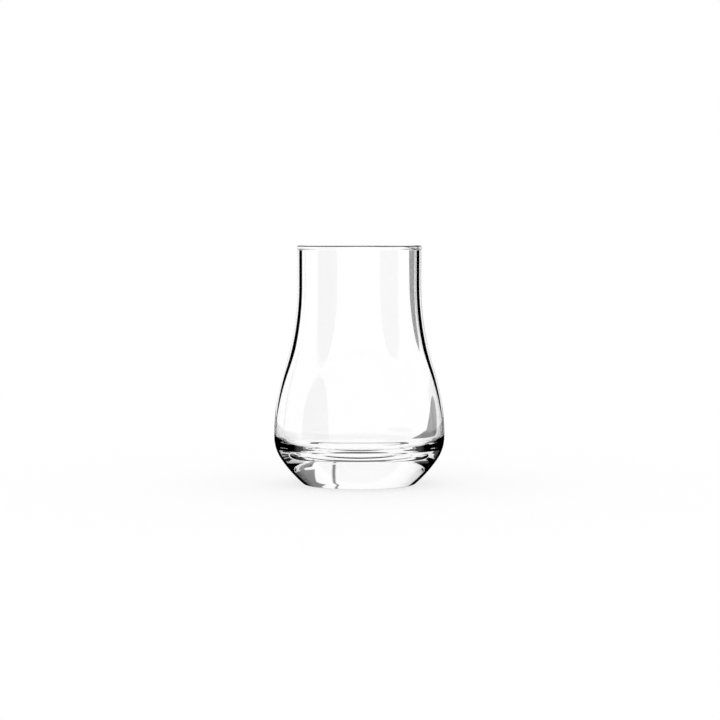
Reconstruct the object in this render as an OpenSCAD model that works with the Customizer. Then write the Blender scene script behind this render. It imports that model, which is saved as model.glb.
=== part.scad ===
// Rum tumbler: a clear spirits glass with a heavy base, a round belly and a straight neck.
// Three pieces of glass stand one on another, and each meets the next on a level fused seam:
// the solid base, the thin bowl and the fire-polished rim.
// Units are millimetres, +Z is up, and the origin is the middle of the foot, on the table.

/* [Whole glass] */
// Height from the table to the top of the rim
glass_h = 105; // [95:1:125]

/* [Rim and neck] */
// Outer diameter of the straight neck
neck_d = 54.4; // [48:0.2:62]
// Thickness of the wall in the neck
neck_wall = 1.5; // [1.1:0.1:1.8]
// Length of the straight neck, from the top of the rim down
neck_len = 17; // [8:1:26]
// How much thicker than the wall the round bead at the rim is
bead_swell = 0.5; // [0.3:0.1:1]
// Radius of the hollows that lead from the wall into the bead
bead_hollow_r = 1.5; // [0.8:0.1:2.5]

/* [Belly] */
// Outer diameter at the widest place
belly_d = 75; // [70:0.5:84]
// Height of the widest place above the table
belly_z = 21; // [19:0.5:23]
// Thickness of the wall in the belly
belly_wall = 1.1; // [0.8:0.1:1.5]
// Share of the side's curve that is the hollow below the neck, and not the round of the belly
hollow_share = 0.55; // [0.4:0.05:0.65]

/* [Base] */
// Radius of the heel, where the side turns under the belly
heel_r = 17.5; // [14:0.5:19]
// Radius of the flatter flank between the heel and the foot
flank_r = 55; // [45:1:80]
// Diameter at which the heel would meet the table with a sharp edge
foot_d = 49; // [46:0.5:52]
// Radius of the edge between the heel and the foot
foot_edge_r = 1.2; // [0.5:0.1:2]
// Width of the flat ring that the glass stands on
foot_ring_w = 3.5; // [2:0.5:6]
// Depth of the hollow under the base
punt_depth = 1.6; // [0.5:0.1:4]

/* [Inside of the base] */
// How far the floor of the bowl lies below the widest place of the belly
floor_drop = 6.6; // [5:0.2:8]
// Diameter of the flat middle of the floor
floor_d = 37; // [30:0.5:42]
// How far above the widest place of the belly the corner of the inside begins
corner_rise = 1; // [0.5:0.5:4]
// Radius of the corner between the wall and the floor
corner_r = 6; // [4.5:0.1:6.4]
// Radius of the flatter sweep between the corner and the floor
sweep_r = 27; // [24:1:40]
// How far above the start of the corner the bowl's seam with the base lies
seam_rise = 3; // [1:0.5:8]

/* [Hidden] */

// Farthest that a straight step along a curve may lie from it
curve_tolerance = 0.004;
// Sides drawn around the axis
$fn = 180;

clear_glass = [0.93, 0.96, 0.97, 0.45];

neck_r = neck_d / 2;
neck_in_r = neck_r - neck_wall;
belly_r = belly_d / 2;
belly_in_r = belly_r - belly_wall;
foot_r = foot_d / 2;
neck_end_z = glass_h - neck_len;
floor_z = belly_z - floor_drop;
corner_z = belly_z + corner_rise;
seam_z = corner_z + seam_rise;

// Points along an arc, with both ends and the middle among them.
function arc(centre, r, from, to) =
    let (step = 2 * acos(1 - curve_tolerance / r),
         count = 2 * ceil(abs(to - from) / step / 2))
    [for (i = [0 : count]) let (a = from + (to - from) * i / count) centre + r * along(a)];

function angle_of(v) = atan2(v[1], v[0]);

function along(angle) = [cos(angle), sin(angle)];

// Centre of the larger circle that holds and touches a circle, and passes through a point.
function nest_centre(centre, r, nest_r, point) =
    let (inside = nest_r - r,
         way = point - centre,
         ahead = way / norm(way),
         reach = (pow(inside, 2) - pow(nest_r, 2) + way * way) / (2 * norm(way)),
         aside = sqrt(pow(inside, 2) - pow(reach, 2)))
    centre + reach * ahead + aside * [ahead[1], -ahead[0]];

// The side: two tangent arcs from an upright start at the top to an upright end at the bottom.
function side_turn(top, bottom) = 2 * atan((bottom[0] - top[0]) / (top[1] - bottom[1]));
function side_radii(top, bottom) =
    let (both = (top[1] - bottom[1]) / sin(side_turn(top, bottom)))
    [both * hollow_share, both * (1 - hollow_share)];
function side_hollow(top, bottom) =
    let (r = side_radii(top, bottom)[0])
    arc(top + [r, 0], r, 180, 180 + side_turn(top, bottom));
// The round of the belly, between two heights.
function side_round(top, bottom, from_z, to_z) =
    let (r = side_radii(top, bottom)[1])
    arc(bottom - [r, 0], r, asin((from_z - bottom[1]) / r), asin((to_z - bottom[1]) / r));
// Height where the hollow of the side gives way to the round.
function side_change_z(top, bottom) =
    bottom[1] + side_radii(top, bottom)[1] * sin(side_turn(top, bottom));

// Where the outside and the inside are upright: below the neck and at the belly.
outer_top = [neck_r, neck_end_z];
outer_wide = [belly_r, belly_z];
inner_top = [neck_in_r, neck_end_z];
inner_wide = [belly_in_r, belly_z];

// Rim: a bead on the wall's centre line, with a hollow on each side that touches bead and wall.
bead_r = (neck_wall + bead_swell) / 2;
bead_centre = [neck_r - neck_wall / 2, glass_h - bead_r];
hollow_out = neck_wall / 2 + bead_hollow_r;
hollow_drop = sqrt(pow(bead_r + bead_hollow_r, 2) - pow(hollow_out, 2));
rim_seam_z = bead_centre[1] - hollow_drop;
bead_start = angle_of([hollow_out, -hollow_drop]);

function rim_outline() = concat(
    arc(bead_centre + [hollow_out, -hollow_drop], bead_hollow_r, 180, 180 + bead_start),
    arc(bead_centre, bead_r, bead_start, 180 - bead_start),
    arc(bead_centre + [-hollow_out, -hollow_drop], bead_hollow_r, -bead_start, 0));

// Bowl: down the outside from the rim's seam to the base's seam, and up the inside.
function wall_side(top, wide) = concat(
    [[top[0], rim_seam_z]],
    side_hollow(top, wide),
    side_round(top, wide, side_change_z(top, wide), seam_z));
function reversed(points) = [for (i = [len(points) - 1 : -1 : 0]) points[i]];

function bowl_outline() = concat(
    wall_side(outer_top, outer_wide),
    reversed(wall_side(inner_top, inner_wide)));

// Heel: an arc under the belly, then the flatter flank that runs to the foot's edge.
heel_centre = outer_wide - [heel_r, 0];
flank_centre = nest_centre(heel_centre, heel_r, flank_r, [foot_r, 0]);
heel_start = angle_of(heel_centre - flank_centre);
edge_reach = sqrt(pow(flank_r - foot_edge_r, 2) - pow(flank_centre[1] - foot_edge_r, 2));
edge_centre = [flank_centre[0] + edge_reach, foot_edge_r];
edge_start = angle_of(edge_centre - flank_centre);

// Punt: a shallow dome from the foot ring's inner edge to the axis.
punt_rim_r = edge_centre[0] - foot_ring_w;
punt_r = (pow(punt_rim_r, 2) + pow(punt_depth, 2)) / (2 * punt_depth);
punt_centre = [0, punt_depth - punt_r];

// Corner of the inside: an arc from the wall, then the flatter sweep that runs to the flat floor.
inner_round_r = side_radii(inner_top, inner_wide)[1];
corner_start = asin(corner_rise / inner_round_r);
corner_centre = inner_wide - [inner_round_r, 0] + (inner_round_r - corner_r) * along(corner_start);
floor_edge = [floor_d / 2, floor_z];
sweep_centre = nest_centre(corner_centre, corner_r, sweep_r, floor_edge);
corner_end = angle_of(corner_centre - sweep_centre);

function outside_of_base() = concat(
    arc(punt_centre, punt_r, 90, angle_of([punt_rim_r, 0] - punt_centre)),
    arc(edge_centre, foot_edge_r, -90, edge_start),
    arc(flank_centre, flank_r, edge_start, heel_start),
    arc(heel_centre, heel_r, heel_start, 0),
    side_round(outer_top, outer_wide, belly_z, seam_z));
function floor_of_bowl() = concat(
    side_round(inner_top, inner_wide, seam_z, corner_z),
    arc(corner_centre, corner_r, corner_start, corner_end),
    arc(sweep_centre, sweep_r, corner_end, angle_of(floor_edge - sweep_centre)),
    [[0, floor_z]]);

module turned(outline) {
    color(clear_glass) rotate_extrude() polygon(outline);
}

// Solid glass with the heel and foot outside, and the floor of the cavity on top.
module base() {
    turned(concat(outside_of_base(), floor_of_bowl()));
}

// Thin blown wall, open at both ends.
module bowl() {
    turned(bowl_outline());
}

// Rounded lip that closes the top of the wall.
module rim() {
    turned(rim_outline());
}

base();
bowl();
rim();
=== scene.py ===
"""Looks of the rum tumbler: three turned pieces of clear glass on a white studio table.

The pieces are turned from the same outline as the solids of the frame, but finely and with
smooth normals, because light has to bend through them cleanly.
"""

import math
from typing import NamedTuple

import bmesh
import bpy
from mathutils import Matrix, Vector


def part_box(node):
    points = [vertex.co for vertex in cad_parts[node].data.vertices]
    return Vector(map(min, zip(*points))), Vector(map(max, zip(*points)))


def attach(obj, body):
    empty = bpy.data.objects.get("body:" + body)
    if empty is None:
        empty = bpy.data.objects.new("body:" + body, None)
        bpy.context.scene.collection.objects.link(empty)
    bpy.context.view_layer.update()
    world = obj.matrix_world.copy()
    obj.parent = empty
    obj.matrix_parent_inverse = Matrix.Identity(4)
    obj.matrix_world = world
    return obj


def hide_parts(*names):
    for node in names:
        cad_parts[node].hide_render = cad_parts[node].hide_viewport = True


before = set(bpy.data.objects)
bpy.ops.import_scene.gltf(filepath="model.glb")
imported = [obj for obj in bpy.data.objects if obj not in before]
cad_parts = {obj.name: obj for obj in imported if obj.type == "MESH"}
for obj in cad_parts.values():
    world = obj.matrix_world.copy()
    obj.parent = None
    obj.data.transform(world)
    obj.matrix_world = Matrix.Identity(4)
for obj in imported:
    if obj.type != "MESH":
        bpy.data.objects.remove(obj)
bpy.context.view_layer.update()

bl_info = {
    "name": "Rum tumbler",
    "version": (1, 0, 0),
    "blender": (4, 5, 0),
    "location": "View3D > Sidebar > Tumbler",
    "description": "Builds a clear spirits glass from its base, bowl and rim, on a white studio table",
    "category": "Add Mesh",
}

MM = 0.001
BODY = "root"

GLASS_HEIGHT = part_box("rim")[1].z
RIM_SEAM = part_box("bowl")[1].z
BASE_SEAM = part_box("base")[1].z
BELLY_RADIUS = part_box("base")[1].x

# Sides around the axis of every turned piece.
SIDES = 240
# Longest straight step along an outline, the most that one step may turn, and the fewest steps of an arc.
LONGEST_STEP = 0.8 * MM
MOST_TURN = math.radians(4)
FEWEST_STEPS = 4
# Points that lie closer together than this are one point.
SAME_POINT = 0.001 * MM
# How far a level face may lie from the height of a seam and still belong to it.
SEAM_REACH = 0.005 * MM

# Places of the three materials on a piece.
INSIDE, SEAM, OUTSIDE = range(3)
# Heights between which the painted black line along the wall, a painted shade, changes its width, on the
# base and on the bowl.
BASE_PAINTED_LINE = (14 * MM, 22 * MM)
BOWL_PAINTED_LINE = (30 * MM, 60 * MM)
# Softness of the painted black line's edges, as a share of the radius.
PAINTED_LINE_SOFTNESS = 0.002


def length(name, default, description):
    """A size in metres that a user can change."""
    return bpy.props.FloatProperty(
        name=name, description=description, default=default, min=0.0, unit="LENGTH", precision=4
    )


def share(name, default, description):
    """Two shares of a whole that a user can change, the smaller first."""
    return bpy.props.FloatVectorProperty(
        name=name, description=description, default=default, size=2, min=0.0, max=1.0, precision=3
    )


class TumblerSizes(bpy.types.PropertyGroup):
    """Sizes of the outline that the three pieces are turned from."""

    height: length("Height", GLASS_HEIGHT, "From the table to the top of the rim")
    neck_radius: length("Neck radius", 27.2 * MM, "Outside of the straight neck")
    neck_wall: length("Neck wall", 1.5 * MM, "Thickness of the wall in the neck")
    neck_length: length("Neck length", 17 * MM, "Straight part, from the top of the rim down")
    bead_radius: length("Bead radius", 1.0 * MM, "Half the thickness of the rounded rim")
    bead_hollow: length("Bead hollow", 1.5 * MM, "Radius of the hollows that lead into the bead")
    belly_radius: length("Belly radius", BELLY_RADIUS, "Outside at the widest place")
    belly_height: length("Belly height", 21 * MM, "Height of the widest place")
    belly_wall: length("Belly wall", 1.1 * MM, "Thickness of the wall in the belly")
    hollow_share: bpy.props.FloatProperty(
        name="Hollow share",
        description="Share of the side's curve that is the hollow below the neck",
        default=0.55,
        min=0.3,
        max=0.7,
        subtype="FACTOR",
    )
    heel_radius: length("Heel radius", 17.5 * MM, "Round under the belly")
    flank_radius: length("Flank radius", 55 * MM, "Flatter curve between the heel and the foot")
    foot_radius: length("Foot radius", 24.5 * MM, "Where the heel would meet the table")
    foot_edge: length("Foot edge", 1.2 * MM, "Radius of the edge between heel and foot")
    foot_ring: length("Foot ring", 3.5 * MM, "Width of the flat ring under the glass")
    punt_depth: length("Punt depth", 1.6 * MM, "Hollow under the base")
    floor_height: length("Floor height", 14.4 * MM, "Floor of the bowl above the table")
    floor_radius: length("Floor radius", 18.5 * MM, "Flat middle of the floor")
    corner_height: length("Corner height", 22 * MM, "Where the corner of the inside begins")
    corner_radius: length("Corner radius", 6 * MM, "Round between the wall and the floor")
    sweep_radius: length("Sweep radius", 27 * MM, "Flatter curve between the corner and the floor")


class TumblerGlass(bpy.types.PropertyGroup):
    """Finish of the glass, and the bands of painted shade near its outline."""

    tint: bpy.props.FloatVectorProperty(
        name="Tint",
        description="Colour of the light that the glass lets through",
        default=(1.0, 1.0, 1.0, 1.0),
        size=4,
        min=0.0,
        max=1.0,
        subtype="COLOR",
    )
    ior: bpy.props.FloatProperty(
        name="IOR", description="How strongly the glass bends light", default=1.52, min=1.0
    )
    ripple: length("Ripple", 0.004 * MM, "Height of the slow ripples that blowing leaves in the wall")
    ripple_size: length("Ripple size", 18 * MM, "Width of the ripples")
    # Bands of painted shade: black lines painted into the glass near its outline, standing in for shade.
    heel_painted_shade: share("Heel shade", (0.972, 1.0), "Band of the radius that is dark at the heel")
    belly_painted_shade: share("Belly shade", (0.976, 0.984), "Band of the radius that is dark at the belly")
    neck_painted_shade: share("Neck shade", (0.923, 0.970), "Band of the radius that is dark at the neck")
    rim_painted_shade: share("Rim shade", (0.55, 1.0), "Band of the bead's radius that is dark at the rim")
    rim_painted_shade_tilt: share("Rim tilt", (0.5, 0.9), "How far up the rim's dark side faces: 0 level, 1 straight up")


class TumblerStage(bpy.types.PropertyGroup):
    """Camera and table."""

    camera_distance: length("Camera distance", 1.0, "From the glass's axis to the camera")
    camera_height: length("Camera height", 0.110, "Camera above the table")
    aim_height: length("Aim height", 54.6 * MM, "Height on the axis that is in the middle of the image")
    aim_side: length("Aim side", 0.3 * MM, "How far right of the axis the camera aims")
    frame_width: length("Frame width", 0.317, "Width at the axis that fills the image")
    table_radius: length("Table radius", 0.6, "Round table top under the glass")
    table_tone: bpy.props.FloatProperty(
        name="Table tone", description="How much light the table sends back", default=0.3, min=0.0, max=1.0
    )


class Card(NamedTuple):
    """A dark card of the studio, as the directions that it fills seen from the glass, in degrees.

    A bearing of 0 is straight behind the glass for the photographed view, and 90 is to its right.
    A card with a least and most number of reflections shows only to light that went into the glass
    and out of it once, and was reflected so many times on its way. An oval card narrows to its ends.
    """

    name: str
    left: float
    right: float
    low: float
    high: float
    tone: float
    reflections: tuple = ()
    oval: bool = False


CARDS = (
    Card("high, back right", 29, 48, 12, 48, 0.05),
    Card("front left", -138, -95.5, -31, 25, 0.1, oval=True),
    Card("narrow, back", 12.4, 14.2, -25, 14, 0.2),
    Card("ceiling", -181, 181, 48, 91, 0.0),
    Card("low, back right", 26, 60, -20, 9, 0.17, reflections=(1, 1)),
    Card("right", 72, 124, -30, 25, 0.75, reflections=(3, 4)),
    Card("narrow, right", 86, 102, -9, 16, 0.02, reflections=(3, 4)),
    Card("left", -124, -78, -11, 14, 0.0, reflections=(3, 3)),
)
# Softness of a card's edges, in degrees.
CARD_SOFTNESS = 1.0
# Share of its width that an oval card keeps at its ends.
OVAL_END = 0.01
# How often light passes the surface that goes into the glass and out of it once.
ONCE_THROUGH = (1, 2)


class Flag(NamedTuple):
    """A dark leaf-shaped flag that stands near the glass, bent round it.

    Its middle line stands on a bearing at the top, and sweeps to the left towards the bottom by
    so many degrees.
    """

    name: str
    bearing: float
    low: float
    high: float
    sweep: float
    tone: float


FLAGS = (
    Flag("neck flag", bearing=22.4, low=57 * MM, high=163 * MM, sweep=0, tone=0.13),
    Flag("belly flag", bearing=26, low=-20 * MM, high=35 * MM, sweep=13, tone=0.28),
)
# Distance of the flags from the glass's axis, and half their width in degrees.
FLAG_DISTANCE = 100 * MM
FLAG_HALF_WIDTH = 3.2
FLAG_STEPS = 24

TABLE_SIDES = 128
# Where the table's far side, painted dark in reflections, begins and where it is full, from the axis along
# the camera's view.
PAINTED_FAR_SIDE = (-24 * MM, -12 * MM)

# How many times light is followed through the glass, and how many reflections it may make there.
MOST_PASSES = 32
MOST_REFLECTIONS = 4


class Side(NamedTuple):
    """Two tangent arcs down a side, upright at both ends: a hollow under the neck, then a round."""

    top: Vector
    wide: Vector
    turn: float
    hollow_radius: float
    round_radius: float

    def hollow_centre(self):
        """Centre of the hollow."""
        return self.top + Vector((self.hollow_radius, 0))

    def round_centre(self):
        """Centre of the round."""
        return self.wide - Vector((self.round_radius, 0))

    def round_angle(self, height):
        """Angle on the round, from its level, at a height."""
        return math.asin((height - self.wide.y) / self.round_radius)

    def round_point(self, height):
        """Point of the round at a height."""
        across = self.round_radius * (1 - math.cos(self.round_angle(height)))
        return Vector((self.wide.x - across, height))


def side_between(top, wide, hollow_share):
    """The side that leaves top and reaches wide."""
    turn = 2 * math.atan((wide.x - top.x) / (top.y - wide.y))
    both = (top.y - wide.y) / math.sin(turn)
    return Side(top, wide, turn, both * hollow_share, both * (1 - hollow_share))


def sides(sizes):
    """Outer and inner side of the wall."""
    neck_end = sizes.height - sizes.neck_length
    outer_top = Vector((sizes.neck_radius, neck_end))
    outer_wide = Vector((sizes.belly_radius, sizes.belly_height))
    inner_top = Vector((sizes.neck_radius - sizes.neck_wall, neck_end))
    inner_wide = Vector((sizes.belly_radius - sizes.belly_wall, sizes.belly_height))
    return (
        side_between(outer_top, outer_wide, sizes.hollow_share),
        side_between(inner_top, inner_wide, sizes.hollow_share),
    )


def nest_centre(centre, radius, nest_radius, point):
    """Centre of the larger circle that holds and touches a circle, and passes through a point."""
    inside = nest_radius - radius
    way = point - centre
    along = (inside**2 - nest_radius**2 + way.length_squared) / (2 * way.length)
    aside = math.sqrt(inside**2 - along**2)
    way.normalize()
    return centre + along * way + aside * Vector((way.y, -way.x))


class Outline:
    """Draws half of a section, radius along X and height along Z, vertex by vertex."""

    def __init__(self, start):
        self.bm = bmesh.new()
        self.first = self.bm.verts.new((start.x, 0, start.y))
        self.last = self.first

    def here(self):
        """The point reached so far."""
        return Vector((self.last.co.x, self.last.co.z))

    def line(self, end):
        """Straight on to end, in equal steps."""
        start = self.here()
        steps = max(1, round((end - start).length / LONGEST_STEP))
        for step in range(steps):
            made = bmesh.ops.extrude_vert_indiv(self.bm, verts=[self.last])
            self.last = made["verts"][0]
            point = start.lerp(end, (step + 1) / steps)
            self.last.co = (point.x, 0, point.y)

    def arc(self, centre, turn):
        """Round a centre through an angle, anticlockwise if positive."""
        radius = (self.here() - centre).length
        by_turn = math.ceil(abs(turn) / MOST_TURN)
        by_length = math.ceil(abs(turn) * radius / LONGEST_STEP)
        made = bmesh.ops.spin(
            self.bm,
            geom=[self.last],
            cent=(centre.x, 0, centre.y),
            axis=(0, -1, 0),
            angle=turn,
            steps=max(FEWEST_STEPS, by_turn, by_length),
            use_duplicate=False,
        )
        self.last = next(item for item in made["geom_last"] if isinstance(item, bmesh.types.BMVert))

    def arc_along(self, centre, direction):
        """Round a centre, the short way, until it lies in a direction from the centre."""
        start = self.here() - centre
        self.arc(centre, -start.angle_signed(direction))

    def arc_to(self, centre, end):
        """Round a centre, the short way, until in line with end."""
        self.arc_along(centre, end - centre)

    def close(self):
        """Joins the last point to the first."""
        self.bm.edges.new((self.last, self.first))

    def turned(self):
        """Turns the outline once around the axis into a closed skin."""
        bm = self.bm
        bmesh.ops.spin(
            bm,
            geom=bm.verts[:] + bm.edges[:],
            cent=(0, 0, 0),
            axis=(0, 0, 1),
            angle=2 * math.pi,
            steps=SIDES,
            use_merge=True,
            use_duplicate=False,
        )
        bmesh.ops.remove_doubles(bm, verts=bm.verts, dist=SAME_POINT)
        bmesh.ops.recalc_face_normals(bm, faces=bm.faces)
        return bm


def down_side(outline, side, bottom):
    """Draws a side from its straight neck down to a height on its round."""
    outline.line(side.top)
    outline.arc(side.hollow_centre(), side.turn)
    outline.arc(side.round_centre(), side.round_angle(bottom) - side.turn)


def up_side(outline, side, top):
    """Draws a side from a height on its round up to a height on its straight neck."""
    outline.arc(side.round_centre(), side.turn - side.round_angle(outline.here().y))
    outline.arc(side.hollow_centre(), -side.turn)
    outline.line(Vector((side.top.x, top)))


def base_skin(sizes):
    """Solid base: punt, foot, heel and belly outside, then the corner and floor of the bowl."""
    outer, inner = sides(sizes)
    heel_centre = outer.wide - Vector((sizes.heel_radius, 0))
    foot = Vector((sizes.foot_radius, 0))
    flank_centre = nest_centre(heel_centre, sizes.heel_radius, sizes.flank_radius, foot)
    edge_rise = flank_centre.y - sizes.foot_edge
    edge_reach = math.sqrt((sizes.flank_radius - sizes.foot_edge) ** 2 - edge_rise**2)
    edge_centre = Vector((flank_centre.x + edge_reach, sizes.foot_edge))
    punt_edge = edge_centre.x - sizes.foot_ring
    punt_radius = (punt_edge**2 + sizes.punt_depth**2) / (2 * sizes.punt_depth)

    outline = Outline(Vector((0, sizes.punt_depth)))
    outline.arc(Vector((0, sizes.punt_depth - punt_radius)), -math.asin(punt_edge / punt_radius))
    outline.line(Vector((edge_centre.x, 0)))
    outline.arc_along(edge_centre, edge_centre - flank_centre)
    outline.arc_along(flank_centre, heel_centre - flank_centre)
    outline.arc_to(heel_centre, outer.wide)
    outline.arc(outer.round_centre(), outer.round_angle(BASE_SEAM))

    corner_start = inner.round_point(sizes.corner_height)
    corner_centre = corner_start.lerp(inner.round_centre(), sizes.corner_radius / inner.round_radius)
    floor_edge = Vector((sizes.floor_radius, sizes.floor_height))
    sweep_centre = nest_centre(corner_centre, sizes.corner_radius, sizes.sweep_radius, floor_edge)
    outline.line(inner.round_point(BASE_SEAM))
    outline.arc_to(inner.round_centre(), corner_start)
    outline.arc_along(corner_centre, corner_centre - sweep_centre)
    outline.arc_to(sweep_centre, floor_edge)
    outline.line(Vector((0, sizes.floor_height)))
    return outline.turned()


def bowl_skin(sizes):
    """Thin wall between the two seams."""
    outer, inner = sides(sizes)
    outline = Outline(Vector((outer.top.x, RIM_SEAM)))
    down_side(outline, outer, BASE_SEAM)
    outline.line(inner.round_point(BASE_SEAM))
    up_side(outline, inner, RIM_SEAM)
    outline.close()
    return outline.turned()


def rim_skin(sizes):
    """Round bead with a hollow on each side, down to the seam."""
    centre = Vector((sizes.neck_radius - sizes.neck_wall / 2, sizes.height - sizes.bead_radius))
    across = sizes.neck_wall / 2 + sizes.bead_hollow
    drop = math.sqrt((sizes.bead_radius + sizes.bead_hollow) ** 2 - across**2)
    turn = math.atan2(drop, across)
    outline = Outline(Vector((sizes.neck_radius, centre.y - drop)))
    outline.arc(centre + Vector((across, -drop)), -turn)
    outline.arc(centre, math.pi + 2 * turn)
    outline.arc(centre + Vector((-across, -drop)), -turn)
    outline.close()
    return outline.turned()


def new_tree(owner):
    """Empties an owner's node tree and returns it."""
    owner.use_nodes = True
    owner.node_tree.nodes.clear()
    return owner.node_tree


def connect(tree, socket, value):
    """Links an output to a socket, or sets the socket to a plain value."""
    if isinstance(value, bpy.types.NodeSocket):
        tree.links.new(value, socket)
    else:
        socket.default_value = value


def add_node(tree, kind, **inputs):
    """Adds a node and sets or links its inputs by name, with spaces written as underscores."""
    node = tree.nodes.new(kind)
    for key, value in inputs.items():
        connect(tree, node.inputs[key.replace("_", " ")], value)
    return node


def calculate(tree, operation, *values):
    """A Math node on outputs and numbers; returns its output."""
    node = tree.nodes.new("ShaderNodeMath")
    node.operation = operation
    for socket, value in zip(node.inputs, values):
        connect(tree, socket, value)
    return node.outputs["Value"]


def ramp(tree, value, start, end):
    """0 on the side of start, 1 on the side of end, and even between; start may be the higher."""
    node = add_node(tree, "ShaderNodeMapRange", Value=value, From_Min=start, From_Max=end)
    return node.outputs["Result"]


def mixed(tree, factor, first, second):
    """A Mix node on outputs and numbers: first where factor is 0, second where it is 1."""
    node = add_node(tree, "ShaderNodeMix", Factor=factor, A=first, B=second)
    return node.outputs["Result"]


def z_part(tree, vector):
    """The Z part of a vector."""
    return add_node(tree, "ShaderNodeSeparateXYZ", Vector=vector).outputs["Z"]


def grey(tone):
    """A grey colour of a tone, from 0 for black to 1 for white."""
    return (tone, tone, tone, 1)


class PaintedShade(NamedTuple):
    """A band of painted shade near the outline, as shares of the radius, that changes between two heights.

    Only faces whose normal rises between the two tilts are painted dark.
    """

    heights: tuple
    low_band: tuple
    high_band: tuple
    tilt: tuple = (-1.0, 1.0)


def painted_edge_shade(tree, height, shade):
    """1 in the band near the outline that is painted black, a painted shade standing in for light running
    along inside the wall, 0 beside it.
    """
    up = ramp(tree, height, *shade.heights)
    facing = add_node(tree, "ShaderNodeLayerWeight", Blend=0.5).outputs["Facing"]
    turned_away = calculate(tree, "ARCCOSINE", calculate(tree, "SUBTRACT", 1.0, facing))
    across = calculate(tree, "SINE", turned_away)
    surface = tree.nodes.new("ShaderNodeNewGeometry")
    tilt = z_part(tree, surface.outputs["Normal"])
    dark = calculate(tree, "SUBTRACT", 1.0, surface.outputs["Backfacing"])
    dark = calculate(tree, "MULTIPLY", dark, calculate(tree, "GREATER_THAN", tilt, shade.tilt[0]))
    dark = calculate(tree, "MULTIPLY", dark, calculate(tree, "LESS_THAN", tilt, shade.tilt[1]))
    for low, high, sign in zip(shade.low_band, shade.high_band, (1, -1)):
        beyond = calculate(tree, "SUBTRACT", across, mixed(tree, up, low, high))
        beyond = calculate(tree, "MULTIPLY", beyond, sign)
        dark = calculate(tree, "MULTIPLY", dark, ramp(tree, beyond, -PAINTED_LINE_SOFTNESS, PAINTED_LINE_SOFTNESS))
    return dark


def clear_glass(name, finish_and_painted_shade, shade=None):
    """Clear polished glass with the slow ripples of blowing, and painted shade near its outline where a
    shade is given, made once.
    """
    if name in bpy.data.materials:
        return bpy.data.materials[name]
    material = bpy.data.materials.new(name)
    tree = new_tree(material)
    place = tree.nodes.new("ShaderNodeTexCoord").outputs["Object"]
    ripple = add_node(tree, "ShaderNodeTexNoise", Vector=place, Scale=1 / finish_and_painted_shade.ripple_size, Detail=1.0)
    bump = add_node(
        tree, "ShaderNodeBump", Height=ripple.outputs["Fac"], Distance=finish_and_painted_shade.ripple, Strength=1.0
    )
    glass = add_node(
        tree,
        "ShaderNodeBsdfPrincipled",
        Base_Color=finish_and_painted_shade.tint,
        Roughness=0.0,
        IOR=finish_and_painted_shade.ior,
        Transmission_Weight=1.0,
        Normal=bump.outputs["Normal"],
    )
    surface = glass.outputs["BSDF"]
    if shade:
        # Painted shade: the glass is mixed with black in the band near its outline.
        black = add_node(tree, "ShaderNodeBsdfTransparent", Color=grey(0))
        dark = painted_edge_shade(tree, z_part(tree, place), shade)
        both = add_node(tree, "ShaderNodeMixShader", Fac=dark)
        tree.links.new(surface, both.inputs[1])
        tree.links.new(black.outputs["BSDF"], both.inputs[2])
        surface = both.outputs["Shader"]
    add_node(tree, "ShaderNodeOutputMaterial", Surface=surface)
    return material


def fused_seam():
    """Face inside the glass where two pieces are fused, which light passes unbent, made once."""
    name = "fused_seam"
    if name in bpy.data.materials:
        return bpy.data.materials[name]
    material = bpy.data.materials.new(name)
    tree = new_tree(material)
    shader = add_node(tree, "ShaderNodeBsdfTransparent")
    add_node(tree, "ShaderNodeOutputMaterial", Surface=shader.outputs["BSDF"])
    return material


def glass_materials(name, finish_and_painted_shade):
    """What a piece is made of: its inside, its seams and its outside, which carries painted shade near the
    outline.
    """
    # Bands of painted shade, for each piece.
    painted_shades = {
        "base": PaintedShade(BASE_PAINTED_LINE, finish_and_painted_shade.heel_painted_shade, finish_and_painted_shade.belly_painted_shade),
        "bowl": PaintedShade(BOWL_PAINTED_LINE, finish_and_painted_shade.belly_painted_shade, finish_and_painted_shade.neck_painted_shade),
        "rim": PaintedShade((RIM_SEAM, GLASS_HEIGHT), finish_and_painted_shade.rim_painted_shade, finish_and_painted_shade.rim_painted_shade, finish_and_painted_shade.rim_painted_shade_tilt),
    }
    outside = clear_glass(f"{name}_outside", finish_and_painted_shade, painted_shades[name])
    return clear_glass("polished_glass", finish_and_painted_shade), fused_seam(), outside


def add_object(name, bm, materials):
    """Makes a mesh an object at the origin, and adds it to the scene."""
    mesh = bpy.data.meshes.new(name)
    bm.to_mesh(mesh)
    bm.free()
    for material in materials:
        mesh.materials.append(material)
    made = bpy.data.objects.new(name, mesh)
    bpy.context.scene.collection.objects.link(made)
    return made


def is_seam(face):
    """Whether a face lies level at the height of a seam."""
    heights = [vert.co.z for vert in face.verts]
    level = max(heights) - min(heights) < SAME_POINT
    return level and any(abs(heights[0] - seam) < SEAM_REACH for seam in (RIM_SEAM, BASE_SEAM))


def faces_outwards(face):
    """Whether a face turns away from the axis."""
    return face.normal.xy.dot(face.calc_center_median().xy) > 0


def glass_piece(name, bm, materials):
    """Makes a piece of the skin, smooth but for its seams, and puts it in place of its CAD node."""
    for face in bm.faces:
        face.smooth = True
        face.material_index = INSIDE
        if is_seam(face):
            face.material_index = SEAM
            for edge in face.edges:
                edge.smooth = False
        elif faces_outwards(face):
            face.material_index = OUTSIDE
    piece = add_object(f"{name}_glass", bm, materials)
    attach(piece, BODY)
    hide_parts(name)


def within(tree, away, reach):
    """1 where a direction lies less than reach away, 0 farther off, with a soft edge."""
    distance = calculate(tree, "ABSOLUTE", away)
    return ramp(tree, distance, reach + CARD_SOFTNESS / 2, reach - CARD_SOFTNESS / 2)


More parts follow.
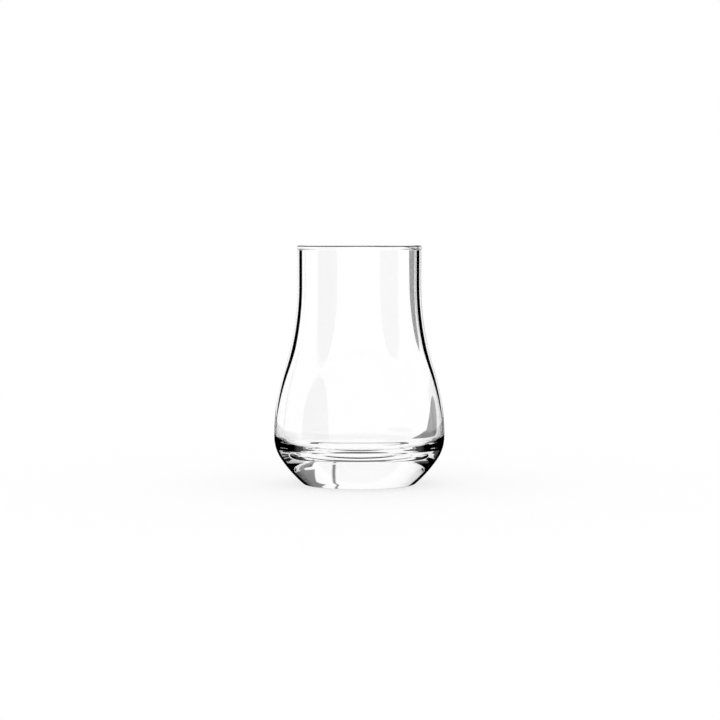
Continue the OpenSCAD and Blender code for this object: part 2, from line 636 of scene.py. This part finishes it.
def oval_width(tree, above, half_height):
    """Share of an oval's width that is left so far above or below its middle."""
    up = calculate(tree, "DIVIDE", above, half_height)
    left = calculate(tree, "SUBTRACT", 1.0, calculate(tree, "MULTIPLY", up, up))
    return calculate(tree, "SQRT", calculate(tree, "MAXIMUM", left, OVAL_END**2))


def counts(tree, number, least, most):
    """1 where a whole number lies from least to most, 0 elsewhere."""
    enough = calculate(tree, "GREATER_THAN", number, least - 0.5)
    return calculate(tree, "MULTIPLY", enough, calculate(tree, "LESS_THAN", number, most + 0.5))


def card_cover(tree, card, bearing, rise):
    """1 in the directions that a card fills, for the light that shows it, and 0 elsewhere."""
    half_width = (card.right - card.left) / 2
    half_height = (card.high - card.low) / 2
    aside = calculate(tree, "SUBTRACT", bearing, card.left + half_width)
    above = calculate(tree, "SUBTRACT", rise, card.low + half_height)
    if card.oval:
        aside = calculate(tree, "DIVIDE", aside, oval_width(tree, above, half_height))
    cover = calculate(tree, "MULTIPLY", within(tree, aside, half_width), within(tree, above, half_height))
    if card.reflections:
        path = tree.nodes.new("ShaderNodeLightPath")
        reflected = counts(tree, path.outputs["Glossy Depth"], *card.reflections)
        passed = counts(tree, path.outputs["Transmission Depth"], *ONCE_THROUGH)
        cover = calculate(tree, "MULTIPLY", cover, calculate(tree, "MULTIPLY", reflected, passed))
    return cover


def seen_in_glass(tree):
    """1 for what the glass reflects or lets through, 0 for what camera and table see by themselves."""
    path = tree.nodes.new("ShaderNodeLightPath")
    return calculate(
        tree, "MAXIMUM", path.outputs["Is Glossy Ray"], path.outputs["Is Transmission Ray"]
    )


def studio_world():
    """Even white light all round, with dark cards that only the glass shows."""
    world = bpy.data.worlds.new("studio")
    tree = new_tree(world)
    place = tree.nodes.new("ShaderNodeTexCoord")
    x, y, z = add_node(tree, "ShaderNodeSeparateXYZ", Vector=place.outputs["Generated"]).outputs
    bearing = calculate(tree, "DEGREES", calculate(tree, "ARCTAN2", x, y))
    rise = calculate(tree, "DEGREES", calculate(tree, "ARCSINE", z))
    tone = 1.0
    for card in CARDS:
        tone = mixed(tree, card_cover(tree, card, bearing, rise), tone, card.tone)
        tone.node.label = card.name
    light = mixed(tree, seen_in_glass(tree), 1.0, tone)
    background = add_node(tree, "ShaderNodeBackground", Color=grey(1), Strength=light)
    add_node(tree, "ShaderNodeOutputWorld", Surface=background.outputs["Background"])
    bpy.context.scene.world = world


def painted_far_side(tree):
    """1 on the table's far side, seen from the camera, which is painted dark in reflections, 0 on its near
    side, and soft between.
    """
    place = tree.nodes.new("ShaderNodeNewGeometry")
    turned = add_node(tree, "ShaderNodeVectorTransform", Vector=place.outputs["Position"])
    turned.vector_type = "VECTOR"
    turned.convert_from = "WORLD"
    turned.convert_to = "CAMERA"
    depth = z_part(tree, turned.outputs["Vector"])
    return ramp(tree, depth, *PAINTED_FAR_SIDE)


def table_material(tone):
    """Matt table that looks white, because it makes up for the light that it doesn't send back.

    Shadows on it stay faint. Its far side is painted dark in reflections only, a painted reflection for
    the black masses in the base.
    """
    material = bpy.data.materials.new("white_table")
    tree = new_tree(material)
    path = tree.nodes.new("ShaderNodeLightPath")
    # Painted reflection: the far side is painted dark for reflected light only.
    dark = calculate(tree, "MULTIPLY", path.outputs["Is Glossy Ray"], painted_far_side(tree))
    not_painted_dark = calculate(tree, "SUBTRACT", 1.0, dark)
    seen = calculate(tree, "MAXIMUM", path.outputs["Is Camera Ray"], path.outputs["Is Glossy Ray"])
    seen = calculate(tree, "MULTIPLY", seen, not_painted_dark)
    matt = add_node(tree, "ShaderNodeBsdfDiffuse", Color=calculate(tree, "MULTIPLY", not_painted_dark, tone))
    glow = add_node(tree, "ShaderNodeEmission", Strength=calculate(tree, "MULTIPLY", seen, 1 - tone))
    both = tree.nodes.new("ShaderNodeAddShader")
    tree.links.new(matt.outputs["BSDF"], both.inputs[0])
    tree.links.new(glow.outputs["Emission"], both.inputs[1])
    add_node(tree, "ShaderNodeOutputMaterial", Surface=both.outputs["Shader"])
    return material


def make_table(stage):
    """Round white table top at the height of the foot, which the glass shows only in reflections."""
    bm = bmesh.new()
    bmesh.ops.create_circle(bm, cap_ends=True, segments=TABLE_SIDES, radius=stage.table_radius)
    table = add_object("table", bm, [table_material(stage.table_tone)])
    table.visible_transmission = False


def flag_material(flag):
    """Dark matt cloth."""
    material = bpy.data.materials.new(flag.name)
    tree = new_tree(material)
    matt = add_node(tree, "ShaderNodeBsdfDiffuse", Color=grey(flag.tone))
    add_node(tree, "ShaderNodeOutputMaterial", Surface=matt.outputs["BSDF"])
    return material


def make_flag(flag):
    """Cuts a flag to its leaf shape and stands it by the glass, which alone shows it."""
    bm = bmesh.new()
    bmesh.ops.create_grid(bm, x_segments=FLAG_STEPS, y_segments=FLAG_STEPS, size=1)
    for vert in bm.verts:
        across, up, _ = vert.co
        half_width = FLAG_HALF_WIDTH * math.sqrt(1 - up**2)
        down = (1 - up) / 2
        bearing = math.radians(flag.bearing + half_width * across - flag.sweep * down**2)
        height = flag.high + (flag.low - flag.high) * down
        vert.co = (FLAG_DISTANCE * math.sin(bearing), FLAG_DISTANCE * math.cos(bearing), height)
    bmesh.ops.remove_doubles(bm, verts=bm.verts, dist=SAME_POINT)
    leaf = add_object(flag.name, bm, [flag_material(flag)])
    leaf.visible_camera = False
    leaf.visible_diffuse = False
    leaf.visible_shadow = False


def make_camera(stage):
    """Long lens a little above the rim, aimed at the middle of the glass."""
    data = bpy.data.cameras.new("camera")
    place = Vector((0, -stage.camera_distance, stage.camera_height))
    aim = Vector((stage.aim_side, 0, stage.aim_height))
    data.lens = data.sensor_width * (aim - place).length / stage.frame_width
    camera = bpy.data.objects.new("camera", data)
    camera.location = place
    camera.rotation_mode = "QUATERNION"
    camera.rotation_quaternion = (aim - place).to_track_quat("-Z", "Y")
    bpy.context.scene.collection.objects.link(camera)
    bpy.context.scene.camera = camera


def follow_light():
    """Follows light through the glass, and loses what is reflected there more often than is allowed."""
    cycles = bpy.context.scene.cycles
    cycles.max_bounces = MOST_PASSES
    cycles.transmission_bounces = MOST_PASSES
    cycles.transparent_max_bounces = MOST_PASSES
    cycles.glossy_bounces = MOST_REFLECTIONS


class TUMBLER_OT_base(bpy.types.Operator):
    """Turns the solid base of the glass"""

    bl_idname = "tumbler.base"
    bl_label = "Base"

    def execute(self, context):
        scene = context.scene
        glass_piece("base", base_skin(scene.tumbler_sizes), glass_materials("base", scene.tumbler_glass))
        return {"FINISHED"}


class TUMBLER_OT_bowl(bpy.types.Operator):
    """Turns the thin wall of the glass"""

    bl_idname = "tumbler.bowl"
    bl_label = "Bowl"

    def execute(self, context):
        scene = context.scene
        glass_piece("bowl", bowl_skin(scene.tumbler_sizes), glass_materials("bowl", scene.tumbler_glass))
        return {"FINISHED"}


class TUMBLER_OT_rim(bpy.types.Operator):
    """Turns the rounded rim of the glass"""

    bl_idname = "tumbler.rim"
    bl_label = "Rim"

    def execute(self, context):
        scene = context.scene
        glass_piece("rim", rim_skin(scene.tumbler_sizes), glass_materials("rim", scene.tumbler_glass))
        return {"FINISHED"}


class TUMBLER_OT_stage(bpy.types.Operator):
    """Sets the table, the dark flags, the white studio and the camera"""

    bl_idname = "tumbler.stage"
    bl_label = "Stage"

    def execute(self, context):
        stage = context.scene.tumbler_stage
        make_table(stage)
        for flag in FLAGS:
            make_flag(flag)
        studio_world()
        make_camera(stage)
        follow_light()
        context.scene.view_settings.view_transform = "Standard"
        return {"FINISHED"}


class TUMBLER_PT_panel(bpy.types.Panel):
    """Lists the sizes, the glass with its painted shade and the stage, and makes the pieces"""

    bl_idname = "TUMBLER_PT_panel"
    bl_label = "Rum tumbler"
    bl_space_type = "VIEW_3D"
    bl_region_type = "UI"
    bl_category = "Tumbler"

    def draw(self, context):
        scene = context.scene
        for group in (scene.tumbler_sizes, scene.tumbler_glass, scene.tumbler_stage):
            column = self.layout.column(align=True)
            for name in group.__annotations__:
                column.prop(group, name)
        for operator in (TUMBLER_OT_base, TUMBLER_OT_bowl, TUMBLER_OT_rim, TUMBLER_OT_stage):
            self.layout.operator(operator.bl_idname)


CLASSES = (
    TumblerSizes,
    TumblerGlass,
    TumblerStage,
    TUMBLER_OT_base,
    TUMBLER_OT_bowl,
    TUMBLER_OT_rim,
    TUMBLER_OT_stage,
    TUMBLER_PT_panel,
)


def register():
    for cls in CLASSES:
        bpy.utils.register_class(cls)
    bpy.types.Scene.tumbler_sizes = bpy.props.PointerProperty(type=TumblerSizes)
    bpy.types.Scene.tumbler_glass = bpy.props.PointerProperty(type=TumblerGlass)
    bpy.types.Scene.tumbler_stage = bpy.props.PointerProperty(type=TumblerStage)


def unregister():
    del bpy.types.Scene.tumbler_stage
    del bpy.types.Scene.tumbler_glass
    del bpy.types.Scene.tumbler_sizes
    for cls in reversed(CLASSES):
        bpy.utils.unregister_class(cls)


def main():
    """Builds the glass and its stage."""
    register()
    bpy.ops.tumbler.base()
    bpy.ops.tumbler.bowl()
    bpy.ops.tumbler.rim()
    bpy.ops.tumbler.stage()


if __name__ == "__main__":
    main()
